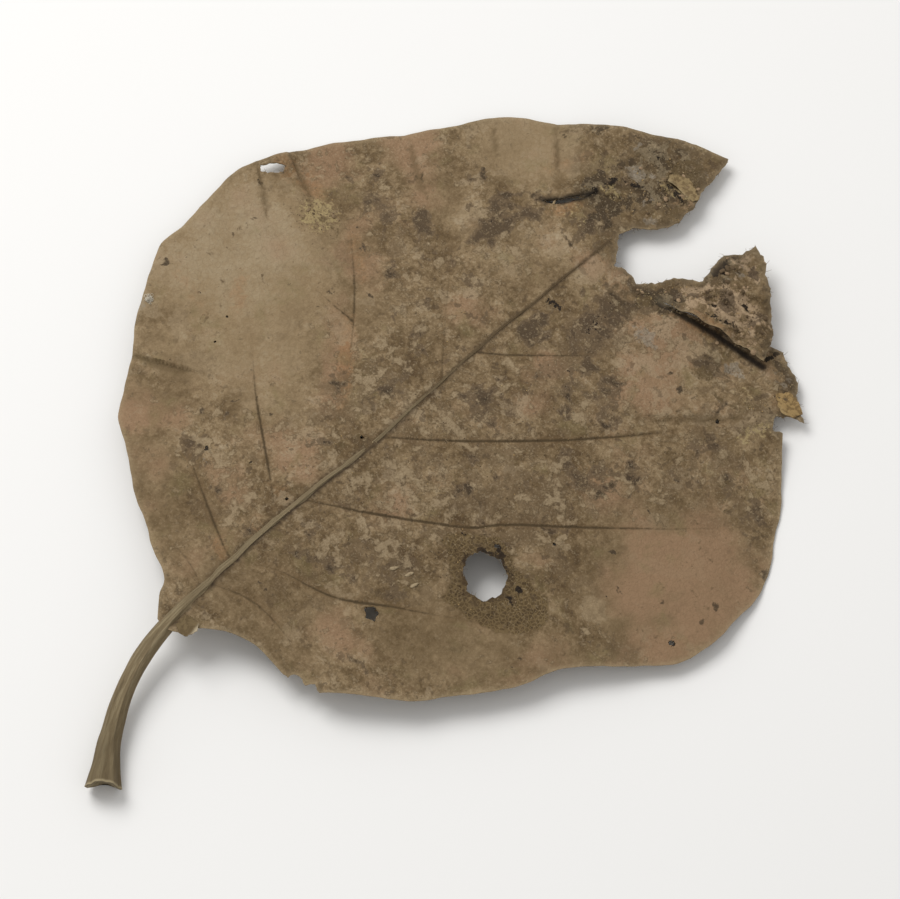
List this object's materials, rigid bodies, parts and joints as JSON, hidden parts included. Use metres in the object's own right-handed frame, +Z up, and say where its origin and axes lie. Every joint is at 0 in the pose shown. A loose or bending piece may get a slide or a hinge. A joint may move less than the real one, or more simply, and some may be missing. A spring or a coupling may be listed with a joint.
{
  "type": "dried teak leaf",
  "caption": "Broad dried leaf lying flat, with a gently arched blade, raised ribs underneath, a torn tip, eaten holes and a curved stalk.",
  "frame": {"origin": "on the surface the leaf lies on, under the middle of its box", "axes": "+Y along the midrib from the stalk to the tip, +Z up out of the upper face, +X to the right of the midrib seen from above"},
  "size_m": [0.1982, 0.2588, 0.0131],
  "materials": {
    "dried_leaf": "dry, matte, blotched brown leaf blade and stalk"
  },
  "bodies": {
    "root": {"teak_leaf": "dried_leaf"}
  },
  "joints": []
}
